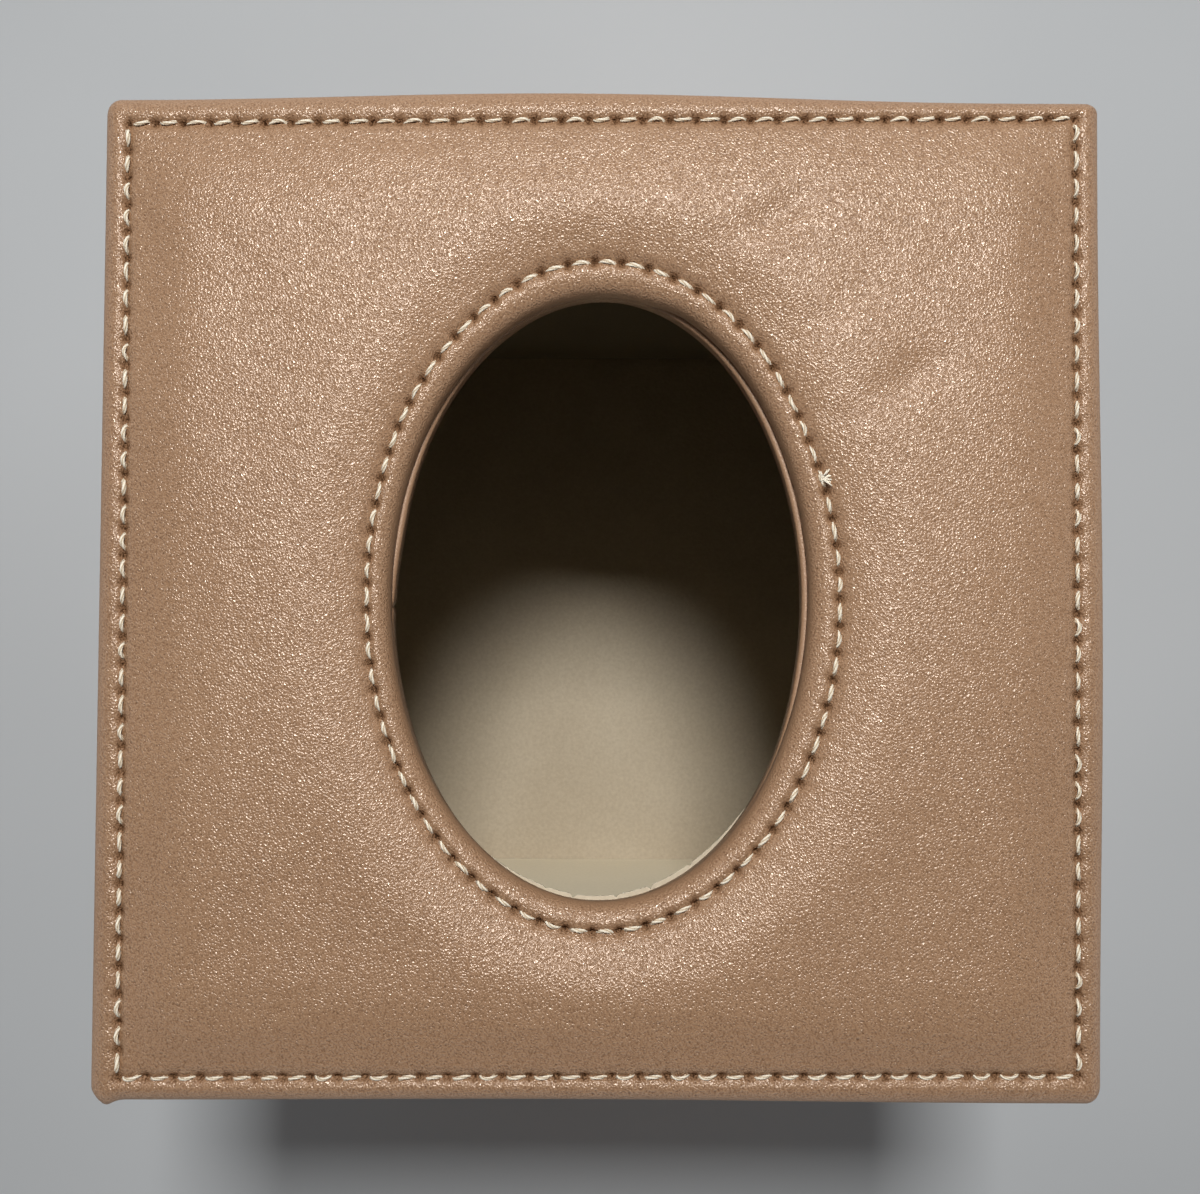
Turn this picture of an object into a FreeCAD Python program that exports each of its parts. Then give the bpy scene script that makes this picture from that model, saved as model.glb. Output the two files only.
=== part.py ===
import FreeCAD, Part
import os
from math import cos, pi, sin

from FreeCAD import Vector

# A square tissue box cover: a lined board box dressed in stitched leather panels, with a padded
# top round an oval mouth and a hinged base flap that magnets hold shut.
# Millimetres, +Z up, +Y to the back, origin at the middle of the footprint.

# Whole cover
cover_width = 130.0         # along X, over the rolled rim of the top
cover_depth = 130.0         # along Y, over the rolled rim of the top
cover_height = 143.0        # from the table to the crown of the top
corner_radius = 3.0         # plan radius of the top's corners
side_setback = 0.4          # side panels stand this far inside the top's rim

# Sheets and boards
leather = 0.9
card = 1.3                  # stiffener behind each leather panel
board = 2.5                 # inner box
lining = 0.6
overrun = 1.0               # how far a cut reaches past the face that it opens

# Padded top
rim_roll = 1.7              # radius of the rolled outer rim
rim_rise = 1.0              # rim above the stitched valley
seam_inset = 3.4            # from the rim's edge to the stitch line
seam_width = 1.4            # flat floor of a stitched valley
seam_corner = 1.0           # plan radius of the valley's corners
crown_rise = 2.8            # crown above the stitched valley
seam_foam = 1.2             # foam left under the stitches

# Oval mouth
oval_width = 54.0
oval_length = 78.6
oval_roll = 2.2             # radius of the rolled oval rim
oval_rise = 1.2             # oval rim above the stitched valley
oval_seam_inset = 4.0       # from the mouth to its stitch line
strip_thick = 0.7           # leather band on the edge of the inner box
strip_lip = 0.4             # the band stands this far inside the rim above it
lining_lip = 0.4            # the cut edge of the lining stands inside the band

# Stitches
stitch_pitch = 3.5
stitch_length = 2.4
thread_width = 0.9
thread_rise = 0.6           # height of a stitch over its valley
thread_gap = 0.08           # slack between a stitch and the leather

# Side panels
panel_roll = 0.7            # rounding of a side panel's edges
side_seam_depth = 0.35      # how deep the stitches are drawn into a side panel

# Base flap
flap_lift = 0.6             # underside of the flap above the table
flap_gap = 0.5              # play at the flap's front and sides
seat_gap = 0.1              # play between the flap and the box above it
base_leather = 0.7
base_board = 2.5

# Hinge strip
hinge_leather = 0.5
hinge_gap = 0.3             # play between the strip and the flap's back edge
hinge_length = 104.0        # along X
hinge_reach = 20.0          # how far the strip runs under the flap

# Closure
magnet_length = 20.0
magnet_depth = 3.0
magnet_height = 2.0
magnet_spread = 62.0        # between the middles of the two magnets
keeper_length = 90.0
keeper_height = 2.8
keeper_thick = 0.5
tab_width = 14.0
tab_length = 24.0
tab_thick = 0.5
tab_setback = 3.0           # from the flap's front edge to the tab

# Shares: points along a straight side, turns of the oval, turns of a roll, and the crown's section
# as pairs of how far across it lies and how much of its rise it has
side_shares = (0, 0.25, 0.5, 0.75)
oval_turn_shares = (0, 0.115, 0.23, 0.345, 0.46, 0.5, 0.54, 0.655, 0.77, 0.885, 1)
roll_turn_shares = (0, 1 / 3, 2 / 3, 1)
crown_shares = ((0.05, 0.34), (0.14, 0.66), (0.3, 0.92), (0.5, 1), (0.7, 0.92), (0.86, 0.66), (0.95, 0.34))
straight_share = 1e-6       # an edge that bows less than this share of its length is a line

# Levels, from the crown down and from the table up
seam_level = cover_height - crown_rise
rim_level = seam_level + rim_rise
oval_rim_level = seam_level + oval_rise
card_level = seam_level - leather - seam_foam
panel_level = card_level - card
box_level = panel_level - board
ceiling_level = box_level - lining
base_board_level = flap_lift + base_leather
base_lining_level = base_board_level + base_board
seat_level = base_lining_level + lining + seat_gap

# Half sizes, from the outside in
half_width = cover_width / 2
half_depth = cover_depth / 2
panel_thick = leather + card
face_x = half_width - side_setback
face_y = half_depth - side_setback
box_x = face_x - panel_thick
box_y = face_y - panel_thick
room_x = box_x - board
room_y = box_y - board
recess_x = box_x - leather
recess_y = box_y - leather
flap_x = recess_x - flap_gap
flap_front = flap_gap - recess_y
flap_back = recess_y - hinge_leather - hinge_gap


def mirror_round(quarter):
    """Points of a full turn, from those of a quarter turn that runs from +X to +Y."""
    left = [Vector(-p.x, p.y, p.z) for p in reversed(quarter)]
    half = quarter[:-1] + left[:-1]
    return half + [Vector(-p.x, -p.y, p.z) for p in half]


def square_points(inset, level):
    """Points round the square that lies inside the top's rim by an inset."""
    x = half_width - inset
    y = half_depth - inset
    r = max(corner_radius - inset, seam_corner)
    bend = [Vector(x - r + r * cos(t), y - r + r * sin(t), level) for t in (0, pi / 4, pi / 2)]
    right = [Vector(x, share * (y - r), level) for share in side_shares]
    back = [Vector(share * (x - r), y, level) for share in reversed(side_shares)]
    return mirror_round(right + bend + back)


def oval_points(outset, level):
    """Points round the oval that lies outside the mouth by an outset."""
    a = oval_width / 2 + outset
    b = oval_length / 2 + outset
    turns = [share * pi / 2 for share in oval_turn_shares]
    return mirror_round([Vector(a * cos(t), b * sin(t), level) for t in turns])


def crown_points(share, level):
    """Points round the crown, a share of the way from the outer valley to the oval one."""
    outer = square_points(seam_inset + seam_width / 2, level)
    inner = oval_points(oval_seam_inset + seam_width / 2, level)
    return [p + (q - p) * share for p, q in zip(outer, inner)]


def loop(points):
    """Closed wire of lines and arcs, one for every second point."""
    ring = points + points[:1]
    edges = []
    for i in range(0, len(points), 2):
        first, middle, last = ring[i:i + 3]
        bow = (middle - (first + last) / 2).Length
        straight = bow < straight_share * (last - first).Length
        curve = Part.LineSegment(first, last) if straight else Part.Arc(first, middle, last)
        edges.append(curve.toShape())
    return Part.Wire(edges)


def ring_solid(rings):
    """Solid whose skin runs through rings of points and back to the first."""
    wires = [loop(points) for points in rings]
    bands = [Part.makeRuledSurface(a, b) for a, b in zip(wires, wires[1:] + wires[:1])]
    skin = Part.makeCompound(bands)
    skin.sewShape()
    return Part.Solid(Part.Shell(skin.Faces))


def roll_section(roll, level, depth):
    """Offsets from the edge and levels over a rolled rim, for the skin a depth below its face."""
    section = []
    for share in roll_turn_shares:
        turn = share * pi / 2
        offset = roll - (roll - depth) * cos(turn)
        section.append((offset, level - roll + (roll - depth) * sin(turn)))
    return section


def top_skin(depth, foot_level):
    """Rings over the padded top, a depth below its face, from the outer foot to the oval's foot."""
    floor = seam_level - depth
    outer = [(depth, foot_level)] + roll_section(rim_roll, rim_level, depth)
    outer += [(seam_inset - seam_width / 2, floor), (seam_inset + seam_width / 2, floor)]
    inner = [(depth, foot_level)] + roll_section(oval_roll, oval_rim_level, depth)
    inner += [(oval_seam_inset - seam_width / 2, floor), (oval_seam_inset + seam_width / 2, floor)]
    rings = [square_points(*place) for place in outer]
    rings += [crown_points(share, floor + crown_rise * rise) for share, rise in crown_shares]
    rings += [oval_points(*place) for place in reversed(inner)]
    return rings


def top_leather():
    return ring_solid(top_skin(0, panel_level) + top_skin(leather, panel_level)[::-1])


def top_foam():
    return ring_solid(top_skin(leather, card_level))


def holed_plate(outline, hole, thick):
    """Plate that rises from a flat outline with one hole."""
    return Part.Face([outline, hole]).extrude(Vector(0, 0, thick))


def rectangle(x, y, level):
    """Flat rectangle of half sizes x and y."""
    corners = [Vector(-x, -y, level), Vector(x, -y, level), Vector(x, y, level), Vector(-x, y, level)]
    return Part.makePolygon(corners + corners[:1])


def top_card():
    outline = loop(square_points(leather, panel_level))
    return holed_plate(outline, loop(oval_points(leather, panel_level)), card)


def box_top():
    hole = loop(oval_points(strip_thick - strip_lip, box_level))
    return holed_plate(rectangle(box_x, box_y, box_level), hole, board)


def oval_edge_strip():
    outline = loop(oval_points(strip_thick - strip_lip, box_level))
    return holed_plate(outline, loop(oval_points(-strip_lip, box_level)), board)


def lining_top():
    hole = loop(oval_points(-strip_lip - lining_lip, ceiling_level))
    return holed_plate(rectangle(room_x, room_y, ceiling_level), hole, lining)


def block(low, high):
    """Box between two corners."""
    size = high - low
    return Part.makeBox(size.x, size.y, size.z, low)


def stitch():
    """One stitch along X: flat below, bowed above from one needle hole to the next."""
    left = Vector(-stitch_length / 2, -thread_width / 2, thread_gap)
    right = Vector(stitch_length / 2, -thread_width / 2, thread_gap)
    crest = Vector(0, -thread_width / 2, thread_rise)
    edges = [Part.Arc(left, crest, right).toShape(), Part.LineSegment(right, left).toShape()]
    return Part.Face(Part.Wire(edges)).extrude(Vector(0, thread_width, 0))


def stitch_row(places, up):
    """Stitches between each point and the next, standing up from the surface."""
    pattern = stitch()
    row = []
    for first, last in zip(places, places[1:]):
        along = (last - first).normalize()
        across = up.cross(along)
        middle = (first + last) / 2
        turn = FreeCAD.Rotation(along, across, up, "ZXY")
        copy = pattern.copy()
        copy.Placement = FreeCAD.Placement(middle, turn)
        row.append(copy)
    return row


def run(first, last):
    """Needle holes along a straight seam, near the stitch pitch."""
    count = max(1, round((last - first).Length / stitch_pitch))
    return [first + (last - first) * (i / count) for i in range(count + 1)]


def frame_stitches(corners, up):
    """Stitches along the four sides that join the corners."""
    stitches = []
    for first, last in zip(corners, corners[1:] + corners[:1]):
        stitches += stitch_row(run(first, last), up)
    return Part.makeCompound(stitches)


def top_edge_stitches():
    x = half_width - seam_inset
    y = half_depth - seam_inset
    corners = [Vector(-x, -y, seam_level), Vector(x, -y, seam_level)]
    corners += [Vector(x, y, seam_level), Vector(-x, y, seam_level)]
    return frame_stitches(corners, Vector(0, 0, 1))


def oval_stitches():
    seam = loop(oval_points(oval_seam_inset, seam_level))
    count = round(seam.Length / stitch_pitch)
    holes = seam.discretize(Number=count + 1)
    return Part.makeCompound(stitch_row(holes, Vector(0, 0, 1)))


def side_leather(reach, span, flange_span):
    """Front-facing leather panel: a tray over its card, turned in round the bottom as a flange."""
    inner = leather - reach
    back = panel_thick - reach
    tray = block(Vector(-span, -reach, 0), Vector(span, back, panel_level))
    outline = [e for e in tray.Edges if e.BoundBox.YMax < inner]
    tray = tray.makeFillet(panel_roll, outline)
    flange = block(Vector(-flange_span, back, 0), Vector(flange_span, back + leather, seat_level))
    pocket_low = Vector(leather - span, inner, leather)
    pocket = block(pocket_low, Vector(span - leather, back, panel_level - leather))
    return tray.fuse(flange).cut(pocket).cut(side_channel(reach, span)).removeSplitter()


def side_channel(reach, span):
    """Stitched valley round the face of a side panel."""
    far = seam_inset - seam_width / 2
    near = seam_inset + seam_width / 2
    floor = side_seam_depth - reach
    low = Vector(far - span, -reach - overrun, far)
    ring = block(low, Vector(span - far, floor, panel_level - far))
    low = Vector(near - span, -reach - overrun, near)
    island = block(low, Vector(span - near, floor + overrun, panel_level - near))
    return ring.cut(island)


def side_card(reach, span):
    low = Vector(leather - span, leather - reach, leather)
    return block(low, Vector(span - leather, panel_thick - reach, panel_level - leather))


def side_stitches(reach, span):
    x = span - seam_inset
    y = side_seam_depth - reach
    top = panel_level - seam_inset
    corners = [Vector(-x, y, seam_inset), Vector(x, y, seam_inset), Vector(x, y, top), Vector(-x, y, top)]
    return frame_stitches(corners, Vector(0, -1, 0))


def wall(outside, span, thick, top):
    """Front-facing wall that stands on the flap's seat."""
    return block(Vector(-span, -outside, seat_level), Vector(span, thick - outside, top))


def keeper_strip():
    """Steel strip let into the back of the front card, level with the magnets."""
    middle = base_board_level + base_board / 2
    back = panel_thick - face_y
    low = Vector(-keeper_length / 2, back - keeper_thick, middle - keeper_height / 2)
    return block(low, Vector(keeper_length / 2, back, middle + keeper_height / 2))


def flap_magnets():
    """Two bar magnets in the front edge of the flap's board."""
    front = flap_front + base_leather
    low = base_board_level + (base_board - magnet_height) / 2
    bars = []
    for side in (-1, 1):
        left = side * magnet_spread / 2 - magnet_length / 2
        corner = Vector(left, front, low)
        bars.append(block(corner, corner + Vector(magnet_length, magnet_depth, magnet_height)))
    return Part.makeCompound(bars)


def flap_board():
    low = Vector(base_leather - flap_x, flap_front + base_leather, base_board_level)
    plate = block(low, Vector(flap_x - base_leather, flap_back - base_leather, base_lining_level))
    return plate.cut(flap_magnets())


def flap_leather():
    """Shallow tray that covers the flap's underside and edges."""
    tray = block(Vector(-flap_x, flap_front, flap_lift), Vector(flap_x, flap_back, base_lining_level))
    low = Vector(base_leather - flap_x, flap_front + base_leather, base_board_level)
    return tray.cut(block(low, Vector(flap_x - base_leather, flap_back - base_leather, base_lining_level)))


def flap_lining():
    low = Vector(-flap_x, flap_front, base_lining_level)
    return block(low, Vector(flap_x, flap_back, base_lining_level + lining))


def pull_tab():
    """Leather tongue that lies against the flap's underside."""
    low = Vector(-tab_width / 2, flap_front + tab_setback, flap_lift - tab_thick)
    return block(low, low + Vector(tab_width, tab_length, tab_thick))


def hinge_strip():
    """Leather strip, up the back of the recess and forward under the flap."""
    low = flap_lift - hinge_leather
    x = hinge_length / 2
    upright = block(Vector(-x, recess_y - hinge_leather, low), Vector(x, recess_y, seat_level))
    under = block(Vector(-x, flap_back - hinge_reach, low), Vector(x, recess_y, flap_lift))
    return upright.fuse(under).removeSplitter()


def turned(shape, quarters):
    """Front-facing shape turned round the middle of the cover."""
    copy = shape.copy()
    copy.rotate(Vector(0, 0, 0), Vector(0, 0, 1), 90 * quarters)
    return copy


def sides():
    """Four walls as nodes: the front and back ones run across the ends of the other two."""
    nodes = {}
    for quarters, side in enumerate(("front", "right", "back", "left")):
        lengthwise = quarters % 2 == 0
        face = face_y if lengthwise else face_x
        span = face_x if lengthwise else face_y - panel_thick
        flange_span = recess_x if lengthwise else box_y
        box_span = box_x if lengthwise else room_y
        lining_span = room_x if lengthwise else room_y - lining
        box_face = face - panel_thick
        stiffener = side_card(face, span)
        if side == "front":
            stiffener = stiffener.cut(keeper_strip())
        pieces = {
            "leather_" + side: side_leather(face, span, flange_span),
            "card_" + side: stiffener,
            "stitches_" + side: side_stitches(face, span),
            "box_" + side: wall(box_face, box_span, board, box_level),
            "lining_" + side: wall(box_face - board, lining_span, lining, ceiling_level),
        }
        nodes.update({name: turned(shape, quarters) for name, shape in pieces.items()})
    return nodes


def write_parts():
    nodes = {
        "top_leather": top_leather(),
        "top_foam": top_foam(),
        "top_card": top_card(),
        "top_edge_stitches": top_edge_stitches(),
        "oval_stitches": oval_stitches(),
        "oval_edge_strip": oval_edge_strip(),
        "box_top": box_top(),
        "lining_top": lining_top(),
        "keeper_strip": keeper_strip(),
        "hinge_strip": hinge_strip(),
        "flap_board": flap_board(),
        "flap_leather": flap_leather(),
        "flap_lining": flap_lining(),
        "flap_magnets": flap_magnets(),
        "pull_tab": pull_tab(),
    }
    nodes.update(sides())
    os.makedirs("parts", exist_ok=True)
    for name, shape in nodes.items():
        shape.exportStep("parts/" + name + ".step")


write_parts()
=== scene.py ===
from math import cos, pi, radians, sin, tau

import bpy
import numpy as np
from mathutils import Euler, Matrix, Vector


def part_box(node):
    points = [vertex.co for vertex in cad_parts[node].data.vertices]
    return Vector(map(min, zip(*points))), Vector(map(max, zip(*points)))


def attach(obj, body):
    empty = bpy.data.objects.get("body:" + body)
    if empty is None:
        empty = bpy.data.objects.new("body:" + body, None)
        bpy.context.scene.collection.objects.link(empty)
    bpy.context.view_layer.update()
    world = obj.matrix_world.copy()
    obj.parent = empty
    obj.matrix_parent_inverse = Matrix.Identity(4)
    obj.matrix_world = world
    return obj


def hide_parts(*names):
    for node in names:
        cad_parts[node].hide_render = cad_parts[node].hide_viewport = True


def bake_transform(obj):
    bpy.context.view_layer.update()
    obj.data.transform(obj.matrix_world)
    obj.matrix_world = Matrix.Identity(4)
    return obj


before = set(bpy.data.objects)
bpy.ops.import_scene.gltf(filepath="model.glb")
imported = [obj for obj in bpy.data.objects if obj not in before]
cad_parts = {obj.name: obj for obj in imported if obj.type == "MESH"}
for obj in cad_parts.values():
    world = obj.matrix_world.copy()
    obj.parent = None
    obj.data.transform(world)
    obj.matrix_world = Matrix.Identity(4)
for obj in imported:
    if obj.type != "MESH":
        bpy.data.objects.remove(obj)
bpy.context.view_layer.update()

# Inner box and stiffeners
# Five boards of pressed fibre are glued edge to edge into a box that is open below, and thinner
# cards stiffen the leather panels. Leather and lining cover them, so only cut edges can show.
mm = 0.001
board_tones = ((0.19, 0.135, 0.085, 1), (0.36, 0.275, 0.185, 1))
card_tones = ((0.3, 0.265, 0.215, 1), (0.46, 0.42, 0.355, 1))
fibre_scale = 900.0
fibre_stretch = (1, 0.35, 1)
fibre_relief = 0.08 * mm
sheet_columns = 180
sheet_corner = 0.6 * mm
board_hole = (28.6 * mm, 41.3 * mm)
card_hole = (28.9 * mm, 41.2 * mm)
true_oval = ((0, 0.0), (180, 0.0))
blur_reach = 9
blur_width = 3.0
quarter_turns = ((1, 0), (0, 1), (-1, 0), (0, -1))
side_names = ("front", "right", "back", "left")


def put(tree, kind, wires=None, **settings):
    """New node in a tree; wires give its inputs, by name or number, a value or another node's output."""
    made = tree.nodes.new(kind)
    for key, value in settings.items():
        setattr(made, key, value)
    for key, value in (wires or {}).items():
        if isinstance(value, bpy.types.NodeSocket):
            tree.links.new(value, made.inputs[key])
        else:
            made.inputs[key].default_value = value
    return made


def new_finish(name, **constants):
    """New material, its node tree and its shader with some constant inputs."""
    material = bpy.data.materials.new(name)
    material.use_nodes = True
    shader = material.node_tree.nodes["Principled BSDF"]
    for key, value in constants.items():
        shader.inputs[key.replace("_", " ")].default_value = value
    return material, material.node_tree, shader


def spot(tree, stretch=(1, 1, 1), turn=(0, 0, 0)):
    """Place on the piece, stretched along the axes and turned about them."""
    where = put(tree, "ShaderNodeTexCoord").outputs["Object"]
    return put(tree, "ShaderNodeMapping", {"Vector": where, "Scale": stretch, "Rotation": turn}).outputs[0]


def speckle(tree, where, scale, detail=2.0, distortion=0.0):
    """Cloudy noise, from 0 to 1, with so many clouds to a metre."""
    wires = {"Vector": where, "Scale": scale, "Detail": detail, "Distortion": distortion}
    return put(tree, "ShaderNodeTexNoise", wires).outputs[0]


def maths(tree, operation, *values):
    """Result of a sum on values or sockets."""
    return put(tree, "ShaderNodeMath", dict(enumerate(values)), operation=operation).outputs[0]


def weigh(tree, start, *terms):
    """Start value plus terms, each a socket and its weight."""
    total = start
    for socket, weight in terms:
        total = maths(tree, "MULTIPLY_ADD", socket, weight, total)
    return total


def tones(tree, factor, *stops):
    """Colour that runs through stops, each a place from 0 to 1 and a colour."""
    made = put(tree, "ShaderNodeValToRGB", {"Fac": factor})
    band = made.color_ramp.elements
    band[0].position, band[0].color = stops[0]
    band[1].position, band[1].color = stops[-1]
    for position, colour in stops[1:-1]:
        band.new(position).color = colour
    return made.outputs["Color"]


def paint(tree, shader, factor, *stops):
    """Gives a shader the colours of stops."""
    tree.links.new(tones(tree, factor, *stops), shader.inputs["Base Color"])


def emboss(tree, shader, height, depth):
    """Relief of a height from 0 to 1 on a shader."""
    wires = {"Height": height, "Distance": depth, "Strength": 1.0}
    tree.links.new(put(tree, "ShaderNodeBump", wires).outputs[0], shader.inputs["Normal"])


def fibre_finish(name, dark, pale):
    """Pressed fibre: short flecks in two tones on a matt face."""
    material, tree, shader = new_finish(name, Roughness=0.92, Specular_IOR_Level=0.2)
    fibres = speckle(tree, spot(tree, fibre_stretch), fibre_scale, detail=6.0)
    paint(tree, shader, fibres, (0.3, dark), (0.7, pale))
    emboss(tree, shader, fibres, fibre_relief)
    return material


def frame_ring(half_across, half_along, corner, per_side):
    """Plan points round a rectangle with rounded corners, evenly spaced on each side, counter-clockwise."""
    share = np.arange(per_side) / per_side * 2 - 1
    sides = []
    for quarter, (c, s) in enumerate(quarter_turns):
        across, along = (half_across, half_along) if quarter % 2 == 0 else (half_along, half_across)
        straight = along - corner
        reach = share * (straight + corner * pi / 4)
        bend = np.clip((np.abs(reach) - straight) / corner, 0, None)
        out = across - corner + corner * np.cos(bend)
        run = np.sign(reach) * (np.minimum(np.abs(reach), straight) + corner * np.sin(bend))
        sides.append(np.stack([out * c - run * s, out * s + run * c], axis=1))
    return np.concatenate(sides)


def oval_plan(half, turns, grow=0.0, shift=(0, 0)):
    """Plan points round an oval that is let out and shifted."""
    return np.stack([shift[0] + (half[0] + grow) * np.cos(turns),
                     shift[1] + (half[1] + grow) * np.sin(turns)], axis=1)


def lift(plan, level):
    """Plan points at a level."""
    return np.column_stack([plan, np.broadcast_to(level, len(plan))])


def skin(rings, closed=False, capped=False):
    """Points and faces of a skin through rings; closed joins the last to the first, capped fills both."""
    count = len(rings[0])
    here = np.arange(count)
    there = (here + 1) % count
    faces = []
    for k in range(len(rings) if closed else len(rings) - 1):
        a = k * count
        b = (k + 1) % len(rings) * count
        faces += np.stack([a + here, a + there, b + there, b + here], axis=1).tolist()
    if capped:
        faces.append(here[::-1].tolist())
        faces.append((here + (len(rings) - 1) * count).tolist())
    return np.concatenate(rings), faces


def join(points, faces, more_points, more_faces):
    """Two lots of points and faces as one."""
    moved = [[i + len(points) for i in face] for face in more_faces]
    return np.concatenate([points, more_points]), faces + moved


def stand(name, data):
    """New object in the scene, at the origin."""
    thing = bpy.data.objects.new(name, data)
    bpy.context.scene.collection.objects.link(thing)
    return thing


def add_piece(name, points, faces, finish):
    """New smooth mesh piece at the origin."""
    mesh = bpy.data.meshes.new(name)
    mesh.from_pydata(np.asarray(points).tolist(), [], faces)
    mesh.materials.append(finish)
    mesh.shade_smooth()
    return stand(name, mesh)


def take_place(piece, body, slot, *nodes):
    """Piece rides on a body and stands for CAD nodes."""
    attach(piece, body)
    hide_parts(*nodes)


def wander(table, turns):
    """Smoothed amount at each turn round the mouth, from a table of degrees and millimetres."""
    places, amounts = zip(*table)
    grid = np.arange(360)
    weights = np.exp(-(np.arange(-blur_reach, blur_reach + 1) / blur_width) ** 2)
    rough = np.tile(np.interp(grid, places, amounts, period=360), 3)
    smooth = np.convolve(rough, weights / weights.sum(), "same")[360:720]
    return mm * np.interp(np.degrees(turns) % 360, grid, smooth, period=360)


def holed_sheet(node, name, slot, finish, hole_half, shift=(0, 0), edge=true_oval, cracks=()):
    """Flat sheet in place of a CAD node, with an oval hole whose edge may wander and be cracked."""
    low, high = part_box(node)
    outline = frame_ring(high.x, high.y, sheet_corner, sheet_columns)
    turns = np.arctan2(outline[:, 1] / hole_half[1], outline[:, 0] / hole_half[0])
    grow = wander(edge, turns)
    for degrees, depth in cracks:
        grow[np.argmin(np.abs(turns % tau - radians(degrees)))] += depth * mm
    hole = oval_plan(hole_half, turns, grow, shift)
    rings = [lift(outline, low.z), lift(outline, high.z), lift(hole, high.z), lift(hole, low.z)]
    sheet = add_piece(name, *skin(rings, closed=True), finish)
    take_place(sheet, "shell", slot, node)
    return sheet


def dress(node, finish):
    """CAD node that keeps its shape gets a finish in each of its slots."""
    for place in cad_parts[node].material_slots:
        place.material = finish


box_board = fibre_finish("box_board", *board_tones)
stiff_card = fibre_finish("stiff_card", *card_tones)
holed_sheet("box_top", "box_lid", "box_board", box_board, board_hole)
holed_sheet("top_card", "lid_card", "card", stiff_card, card_hole)
for side in side_names:
    dress("box_" + side, box_board)
    dress("card_" + side, stiff_card)

# Linings
# Beige napped lining paper is glued to the inside of the box, one sheet to a wall. The top sheet has
# an oval hole, cut a little far back, so that its cracked cream edge shows at the front of the mouth.
# Only the floor sheet and the top face and cut edge of the top sheet keep the lining's own tone. The other
# tones are copies of it with light and shade painted in: lighter for the front wall, darker for the back
# wall, and near black for the side walls and the underside of the top sheet.
nap_tones = ((0.57, 0.47, 0.335, 1), (0.68, 0.58, 0.43, 1))
front_painted_light_tones = ((0.72, 0.61, 0.43, 1), (0.82, 0.71, 0.52, 1))
painted_shade_tones = ((0.09, 0.075, 0.055, 1), (0.13, 0.11, 0.08, 1))
back_painted_shade_tones = ((0.2, 0.17, 0.12, 1), (0.26, 0.22, 0.16, 1))
sheen_tint = (1.0, 0.9, 0.68, 1)
full_sheen = 0.9
faint_sheen = 0.1
# Painted shade at the front wall's foot: its level, the height over which it fades, and the tone it darkens
# towards.
front_foot_painted_shade = (4.4 * mm, 26 * mm, (0.6, 0.505, 0.355, 1))
foot_shade = -0.4
nap_scale = 1500.0
nap_share = 0.5
nap_relief = 0.05 * mm
cloud_scale = 30.0
plate_columns = 12
plate_roll = 0.2 * mm
plate_inset = 3 * plate_roll
roll_rows = 4
least_corner = 0.1 * mm
cut_half = (27.6 * mm, 40.5 * mm)
cut_shift = (0.13 * mm, -0.03 * mm)
cut_wander = ((0, 0.8), (180, 0.8), (225, 0.5), (238, 0.0), (247, -0.45), (255, -0.7), (270, -0.9),
              (285, -1.08), (296, -1.05), (305, -0.85), (314, -0.7), (322, -0.2), (335, 0.8))
cut_cracks = ((254.5, 0.25), (262.4, 0.5), (275, 0.35), (284.3, 0.5), (296.5, 0.3))
under_slope = -0.5


def napped_finish(name, dark, pale, sheen, foot=None):
    """Short nap that catches light at its tips, a little uneven in tone, and with painted shade that dims a
    wall towards its foot.
    """
    material, tree, shader = new_finish(name, Roughness=0.95, Specular_IOR_Level=0.15, Sheen_Weight=sheen,
                                        Sheen_Roughness=0.5, Sheen_Tint=sheen_tint)
    where = spot(tree)
    nap = speckle(tree, where, nap_scale, detail=4.0)
    clouds = speckle(tree, where, cloud_scale, detail=3.0)
    mixed = weigh(tree, 0.0, (clouds, 1 - nap_share), (nap, nap_share))
    stops = [(0.35, dark), (0.65, pale)]
    # Painted shade: a wall darkens towards its foot.
    if foot:
        level, reach, dim = foot
        height = put(tree, "ShaderNodeSeparateXYZ", {0: where}).outputs["Z"]
        wires = {"Value": height, "From Min": level, "From Max": level + reach, "To Min": 1.0, "To Max": 0.0}
        near = put(tree, "ShaderNodeMapRange", wires, interpolation_type="SMOOTHSTEP").outputs[0]
        mixed = weigh(tree, mixed, (near, foot_shade))
        stops.insert(0, (0.05, dim))
    paint(tree, shader, mixed, *stops)
    emboss(tree, shader, nap, nap_relief)
    return material


def plate_over(node, name, body, slot, finish, corner=sheet_corner, per_side=plate_columns):
    """Flat sheet with rolled edges in place of a CAD node."""
    low, high = (np.array(end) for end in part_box(node))
    thin = int(np.argmin(high - low))
    order = [(thin + 1) % 3, (thin + 2) % 3, thin]
    across, along, thick = ((high - low) / 2)[order]
    section = [(plate_inset, -thick)]
    for turn in np.linspace(0, pi / 2, roll_rows):
        section.append((plate_roll * (1 - sin(turn)), plate_roll * (1 - cos(turn)) - thick))
    section += [(inset, -level) for inset, level in section[::-1]]
    rings = []
    for inset, level in section:
        bend = max(corner - inset, least_corner)
        rings.append(lift(frame_ring(across - inset, along - inset, bend, per_side), level))
    local, faces = skin(rings, capped=True)
    points = np.empty_like(local)
    points[:, order] = local + ((low + high) / 2)[order]
    take_place(add_piece(name, points, faces, finish), body, slot, node)


lining_nap = napped_finish("lining_nap", *nap_tones, full_sheen)
lining_painted_shade = napped_finish("lining_painted_shade", *painted_shade_tones, faint_sheen)
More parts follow.
